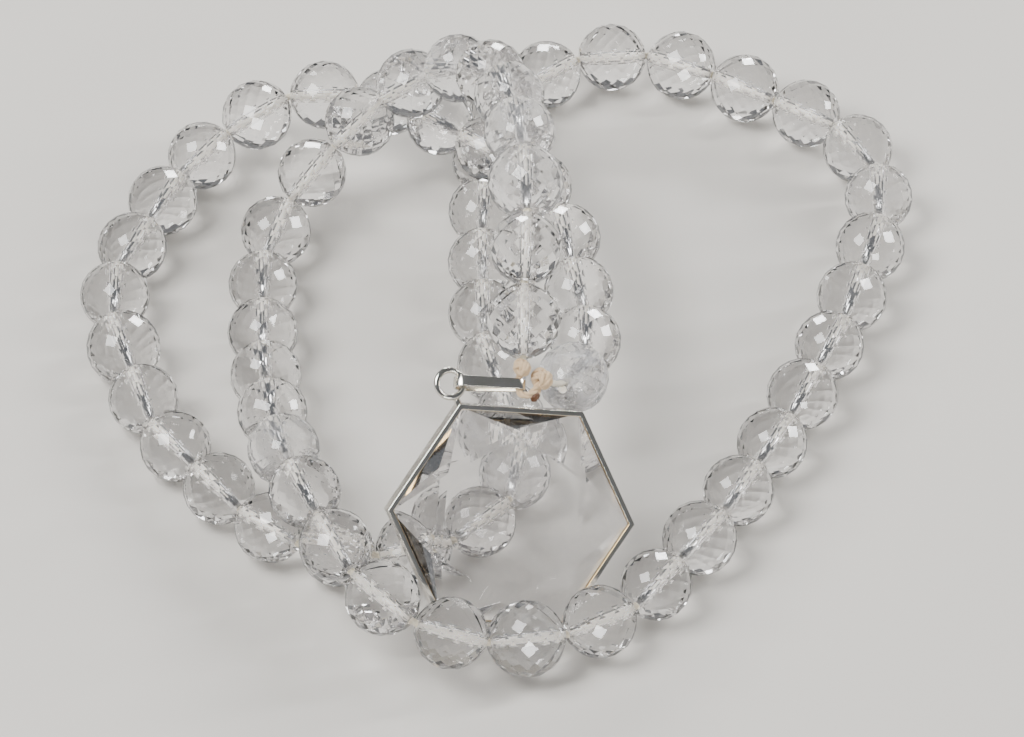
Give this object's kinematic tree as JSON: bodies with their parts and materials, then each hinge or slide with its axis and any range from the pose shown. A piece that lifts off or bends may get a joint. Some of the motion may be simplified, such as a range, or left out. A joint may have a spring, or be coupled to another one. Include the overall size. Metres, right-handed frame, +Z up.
{
  "type": "crystal prayer-bead strand with pendant",
  "caption": "Loose pile of one closed strand of faceted clear crystal prayer beads on a cream cord, with a silver bail and a hexagonal crystal pendant.",
  "frame": {"origin": "centre of the bounding box at the height of the surface the pile lies on", "axes": "+Z up, the pendant's face towards -Y and up, +X to the right seen from the pendant's side"},
  "size_m": [0.1154, 0.123, 0.0463],
  "materials": {
    "bead_crystal": "polished clear quartz, flat diamond facets, frosted bores",
    "pendant_crystal": "polished clear quartz with large flat facets",
    "silver": "polished silver, slightly worn, warm in the bezel's inside",
    "cord": "cream twisted cotton cord",
    "knot": "waxed beige cord ends, burnt brown at the tip"
  },
  "bodies": {
    "strand": {"stringing_cord": "cord", "end_knot": "knot"},
    "bead_01": {"bead_01": "bead_crystal"},
    "bead_02": {"bead_02": "bead_crystal"},
    "bead_03": {"bead_03": "bead_crystal"},
    "bead_04": {"bead_04": "bead_crystal"},
    "bead_05": {"bead_05": "bead_crystal"},
    "bead_06": {"bead_06": "bead_crystal"},
    "bead_07": {"bead_07": "bead_crystal"},
    "bead_08": {"bead_08": "bead_crystal"},
    "bead_09": {"bead_09": "bead_crystal"},
    "bead_10": {"bead_10": "bead_crystal"},
    "bead_11": {"bead_11": "bead_crystal"},
    "beads_12_13": {"beads_12_13": "bead_crystal"},
    "beads_14_15": {"beads_14_15": "bead_crystal"},
    "bead_16": {"bead_16": "bead_crystal"},
    "bead_17": {"bead_17": "bead_crystal"},
    "bead_18": {"bead_18": "bead_crystal"},
    "bead_19": {"bead_19": "bead_crystal"},
    "bead_20": {"bead_20": "bead_crystal"},
    "bead_21": {"bead_21": "bead_crystal"},
    "bead_22": {"bead_22": "bead_crystal"},
    "beads_23_24": {"beads_23_24": "bead_crystal"},
    "beads_25_26": {"beads_25_26": "bead_crystal"},
    "beads_27_28": {"beads_27_28": "bead_crystal"},
    "beads_29_30": {"beads_29_30": "bead_crystal"},
    "bead_31": {"bead_31": "bead_crystal"},
    "bead_32": {"bead_32": "bead_crystal"},
    "beads_33_34": {"beads_33_34": "bead_crystal"},
    "bead_35": {"bead_35": "bead_crystal"},
    "bead_36": {"bead_36": "bead_crystal"},
    "bead_37": {"bead_37": "bead_crystal"},
    "bead_38": {"bead_38": "bead_crystal"},
    "beads_39_40": {"beads_39_40": "bead_crystal"},
    "beads_41_42": {"beads_41_42": "bead_crystal"},
    "bead_43": {"bead_43": "bead_crystal"},
    "bead_44": {"bead_44": "bead_crystal"},
    "bead_45": {"bead_45": "bead_crystal"},
    "bead_46": {"bead_46": "bead_crystal"},
    "bead_47": {"bead_47": "bead_crystal"},
    "bead_48": {"bead_48": "bead_crystal"},
    "bead_49": {"bead_49": "bead_crystal"},
    "beads_50_51": {"beads_50_51": "bead_crystal"},
    "beads_52_53": {"beads_52_53": "bead_crystal"},
    "bead_54": {"bead_54": "bead_crystal"},
    "beads_55_56": {"beads_55_56": "bead_crystal"},
    "bead_57": {"bead_57": "bead_crystal"},
    "bead_58": {"bead_58": "bead_crystal"},
    "bead_59": {"bead_59": "bead_crystal"},
    "bead_60": {"bead_60": "bead_crystal"},
    "bead_61": {"bead_61": "bead_crystal"},
    "bead_62": {"bead_62": "bead_crystal"},
    "bead_63": {"bead_63": "bead_crystal"},
    "beads_64_65": {"beads_64_65": "bead_crystal"},
    "bead_66": {"bead_66": "bead_crystal"},
    "bead_67": {"bead_67": "bead_crystal"},
    "bail": {"bail": "silver"},
    "pendant": {"bezel": "silver", "crystal": "pendant_crystal", "bezel_ring": "silver"}
  },
  "joints": [
    {"name": "bead_01_spin", "type": "hinge", "parent": "strand", "child": "bead_01", "pos_m": [0.00327, -0.02459, 0.0338], "axis": [0.01, 0.8485, 0.5291], "continuous": true},
    {"name": "bead_02_spin", "type": "hinge", "parent": "strand", "child": "bead_02", "pos_m": [0.00352, -0.01591, 0.03857], "axis": [0.0403, 0.901, 0.4318], "continuous": true},
    {"name": "bead_03_spin", "type": "hinge", "parent": "strand", "child": "bead_03", "pos_m": [0.00351, -0.00617, 0.04128], "axis": [-0.0393, 0.9937, 0.1051], "continuous": true},
    {"name": "bead_04_spin", "type": "hinge", "parent": "strand", "child": "bead_04", "pos_m": [0.00277, 0.00394, 0.0408], "axis": [-0.1073, 0.9726, -0.2061], "continuous": true},
    {"name": "bead_05_spin", "type": "hinge", "parent": "strand", "child": "bead_05", "pos_m": [0.00135, 0.01339, 0.03825], "axis": [-0.1793, 0.9339, -0.3093], "continuous": true},
    {"name": "bead_06_spin", "type": "hinge", "parent": "strand", "child": "bead_06", "pos_m": [-0.00117, 0.02203, 0.03428], "axis": [-0.3287, 0.8071, -0.4904], "continuous": true},
    {"name": "bead_07_spin", "type": "hinge", "parent": "strand", "child": "bead_07", "pos_m": [-0.0056, 0.02894, 0.02893], "axis": [-0.5626, 0.5836, -0.5856], "continuous": true},
    {"name": "bead_08_spin", "type": "hinge", "parent": "strand", "child": "bead_08", "pos_m": [-0.01221, 0.03262, 0.02257], "axis": [-0.7347, 0.1426, -0.6633], "continuous": true},
    {"name": "bead_09_spin", "type": "hinge", "parent": "strand", "child": "bead_09", "pos_m": [-0.01944, 0.03231, 0.0157], "axis": [-0.6917, -0.2038, -0.6928], "continuous": true},
    {"name": "bead_10_spin", "type": "hinge", "parent": "strand", "child": "bead_10", "pos_m": [-0.02611, 0.02855, 0.00943], "axis": [-0.6315, -0.5455, -0.5511], "continuous": true},
    {"name": "bead_11_spin", "type": "hinge", "parent": "strand", "child": "bead_11", "pos_m": [-0.03104, 0.02083, 0.00559], "axis": [-0.3181, -0.9291, -0.1886], "continuous": true},
    {"name": "beads_12_13_spin", "type": "hinge", "parent": "strand", "child": "beads_12_13", "pos_m": [-0.03245, 0.00608, 0.00526], "axis": [0.0224, -0.9977, 0.0643], "continuous": true},
    {"name": "beads_14_15_spin", "type": "hinge", "parent": "strand", "child": "beads_14_15", "pos_m": [-0.03101, -0.01341, 0.00849], "axis": [0.1221, -0.9581, 0.2591], "continuous": true},
    {"name": "bead_16_spin", "type": "hinge", "parent": "strand", "child": "bead_16", "pos_m": [-0.02859, -0.02752, 0.01248], "axis": [0.2434, -0.9269, 0.2857], "continuous": true},
    {"name": "bead_17_spin", "type": "hinge", "parent": "strand", "child": "bead_17", "pos_m": [-0.02554, -0.03685, 0.01422], "axis": [0.3632, -0.9298, 0.0599], "continuous": true},
    {"name": "bead_18_spin", "type": "hinge", "parent": "strand", "child": "bead_18", "pos_m": [-0.02142, -0.04583, 0.01375], "axis": [0.4635, -0.8721, -0.1571], "continuous": true},
    {"name": "bead_19_spin", "type": "hinge", "parent": "strand", "child": "bead_19", "pos_m": [-0.01513, -0.05334, 0.01163], "axis": [0.7602, -0.5977, -0.2548], "continuous": true},
    {"name": "bead_20_spin", "type": "hinge", "parent": "strand", "child": "bead_20", "pos_m": [-0.00622, -0.05675, 0.00857], "axis": [0.9429, -0.0436, -0.3302], "continuous": true},
    {"name": "bead_21_spin", "type": "hinge", "parent": "strand", "child": "bead_21", "pos_m": [0.00358, -0.05559, 0.00611], "axis": [0.9541, 0.259, -0.1502], "continuous": true},
    {"name": "bead_22_spin", "type": "hinge", "parent": "strand", "child": "bead_22", "pos_m": [0.01321, -0.05179, 0.00528], "axis": [0.8819, 0.4713, -0.0053], "continuous": true},
    {"name": "beads_23_24_spin", "type": "hinge", "parent": "strand", "child": "beads_23_24", "pos_m": [0.02366, -0.04099, 0.00522], "axis": [0.575, 0.8182, -0.003], "continuous": true},
    {"name": "beads_25_26_spin", "type": "hinge", "parent": "strand", "child": "beads_25_26", "pos_m": [0.03434, -0.02371, 0.00517], "axis": [0.4731, 0.881, -0.0026], "continuous": true},
    {"name": "beads_27_28_spin", "type": "hinge", "parent": "strand", "child": "beads_27_28", "pos_m": [0.04307, -0.00558, 0.00515], "axis": [0.3937, 0.9192, 0.0005], "continuous": true},
    {"name": "beads_29_30_spin", "type": "hinge", "parent": "strand", "child": "beads_29_30", "pos_m": [0.0499, 0.01332, 0.00515], "axis": [0.2861, 0.9582, -0.0001], "continuous": true},
    {"name": "bead_31_spin", "type": "hinge", "parent": "strand", "child": "bead_31", "pos_m": [0.05289, 0.02806, 0.00515], "axis": [0.0166, 0.9999, 0], "continuous": true},
    {"name": "bead_32_spin", "type": "hinge", "parent": "strand", "child": "bead_32", "pos_m": [0.05035, 0.03781, 0.00515], "axis": [-0.4972, 0.8676, 0], "continuous": true},
    {"name": "beads_33_34_spin", "type": "hinge", "parent": "strand", "child": "beads_33_34", "pos_m": [0.03905, 0.04764, 0.00515], "axis": [-0.8549, 0.5188, 0], "continuous": true},
    {"name": "bead_35_spin", "type": "hinge", "parent": "strand", "child": "bead_35", "pos_m": [0.02584, 0.05496, 0.00515], "axis": [-0.9095, 0.4157, 0], "continuous": true},
    {"name": "bead_36_spin", "type": "hinge", "parent": "strand", "child": "bead_36", "pos_m": [0.01595, 0.0567, 0.00515], "axis": [-0.9963, -0.0864, 0], "continuous": true},
    {"name": "bead_37_spin", "type": "hinge", "parent": "strand", "child": "bead_37", "pos_m": [0.0066, 0.05302, 0.00515], "axis": [-0.7914, -0.6113, 0], "continuous": true},
    {"name": "bead_38_spin", "type": "hinge", "parent": "strand", "child": "bead_38", "pos_m": [0.00035, 0.04509, 0.00515], "axis": [-0.4072, -0.9134, 0], "continuous": true},
    {"name": "beads_39_40_spin", "type": "hinge", "parent": "strand", "child": "beads_39_40", "pos_m": [-0.00211, 0.03029, 0.00515], "axis": [-0.0368, -0.9993, 0], "continuous": true},
    {"name": "beads_41_42_spin", "type": "hinge", "parent": "strand", "child": "beads_41_42", "pos_m": [-0.00231, 0.01018, 0.00515], "axis": [0.0168, -0.9999, 0], "continuous": true},
    {"name": "bead_43_spin", "type": "hinge", "parent": "strand", "child": "bead_43", "pos_m": [-0.00091, -0.00485, 0.00515], "axis": [0.2417, -0.9704, 0], "continuous": true},
    {"name": "bead_44_spin", "type": "hinge", "parent": "strand", "child": "bead_44", "pos_m": [0.00143, -0.01461, 0.00515], "axis": [0.2258, -0.9742, 0], "continuous": true},
    {"name": "bead_45_spin", "type": "hinge", "parent": "strand", "child": "bead_45", "pos_m": [0.00171, -0.02466, 0.00515], "axis": [-0.1676, -0.9858, 0], "continuous": true},
    {"name": "bead_46_spin", "type": "hinge", "parent": "strand", "child": "bead_46", "pos_m": [-0.00291, -0.03349, 0.00515], "axis": [-0.7178, -0.6963, 0], "continuous": true},
    {"name": "bead_47_spin", "type": "hinge", "parent": "strand", "child": "bead_47", "pos_m": [-0.01145, -0.03847, 0.00515], "axis": [-0.9589, -0.2838, 0], "continuous": true},
    {"name": "bead_48_spin", "type": "hinge", "parent": "strand", "child": "bead_48", "pos_m": [-0.0214, -0.03893, 0.00515], "axis": [-0.9815, 0.1914, 0], "continuous": true},
    {"name": "bead_49_spin", "type": "hinge", "parent": "strand", "child": "bead_49", "pos_m": [-0.03042, -0.0348, 0.00515], "axis": [-0.7827, 0.6224, 0], "continuous": true},
    {"name": "beads_50_51_spin", "type": "hinge", "parent": "strand", "child": "beads_50_51", "pos_m": [-0.04046, -0.02383, 0.00515], "axis": [-0.6157, 0.788, 0], "continuous": true},
    {"name": "beads_52_53_spin", "type": "hinge", "parent": "strand", "child": "beads_52_53", "pos_m": [-0.0497, -0.00631, 0.00525], "axis": [-0.3042, 0.9526, 0.0098], "continuous": true},
    {"name": "bead_54_spin", "type": "hinge", "parent": "strand", "child": "bead_54", "pos_m": [-0.05288, 0.00857, 0.00525], "axis": [-0.0019, 0.9998, -0.02], "continuous": true},
    {"name": "beads_55_56_spin", "type": "hinge", "parent": "strand", "child": "beads_55_56", "pos_m": [-0.04895, 0.02285, 0.0051], "axis": [0.3912, 0.9203, -0.0051], "continuous": true},
    {"name": "bead_57_spin", "type": "hinge", "parent": "strand", "child": "bead_57", "pos_m": [-0.04179, 0.03584, 0.00573], "axis": [0.6472, 0.7498, 0.1377], "continuous": true},
    {"name": "bead_58_spin", "type": "hinge", "parent": "strand", "child": "bead_58", "pos_m": [-0.03419, 0.04184, 0.00789], "axis": [0.8521, 0.4372, 0.2877], "continuous": true},
    {"name": "bead_59_spin", "type": "hinge", "parent": "strand", "child": "bead_59", "pos_m": [-0.02463, 0.04383, 0.0099], "axis": [0.9937, -0.0556, 0.0975], "continuous": true},
    {"name": "bead_60_spin", "type": "hinge", "parent": "strand", "child": "bead_60", "pos_m": [-0.01545, 0.04077, 0.01145], "axis": [0.8085, -0.55, 0.2093], "continuous": true},
    {"name": "bead_61_spin", "type": "hinge", "parent": "strand", "child": "bead_61", "pos_m": [-0.00833, 0.03456, 0.01341], "axis": [0.6567, -0.7286, 0.1946], "continuous": true},
    {"name": "bead_62_spin", "type": "hinge", "parent": "strand", "child": "bead_62", "pos_m": [-0.00151, 0.02793, 0.0147], "axis": [0.759, -0.647, 0.0729], "continuous": true},
    {"name": "bead_63_spin", "type": "hinge", "parent": "strand", "child": "bead_63", "pos_m": [0.00516, 0.02059, 0.01441], "axis": [0.5707, -0.8113, -0.1272], "continuous": true},
    {"name": "beads_64_65_spin", "type": "hinge", "parent": "strand", "child": "beads_64_65", "pos_m": [0.00992, 0.00636, 0.01344], "axis": [0.177, -0.9837, -0.0306], "continuous": true},
    {"name": "bead_66_spin", "type": "hinge", "parent": "strand", "child": "bead_66", "pos_m": [0.01157, -0.00859, 0.01382], "axis": [-0.0244, -0.9906, 0.1345], "continuous": true},
    {"name": "bead_67_spin", "type": "hinge", "parent": "strand", "child": "bead_67", "pos_m": [0.00986, -0.01815, 0.01657], "axis": [-0.3095, -0.8624, 0.4005], "continuous": true},
    {"name": "bail_on_cord", "type": "hinge", "parent": "strand", "child": "bail", "pos_m": [0.00257, -0.03114, 0.02845], "axis": [0.0493, 0.8981, 0.437], "range_deg": [0, 5]},
    {"name": "pendant_on_bail", "type": "hinge", "parent": "bail", "child": "pendant", "pos_m": [-0.00462, -0.03072, 0.02841], "axis": [0.0493, 0.8981, 0.437], "range_deg": [0, 5]}
  ]
}
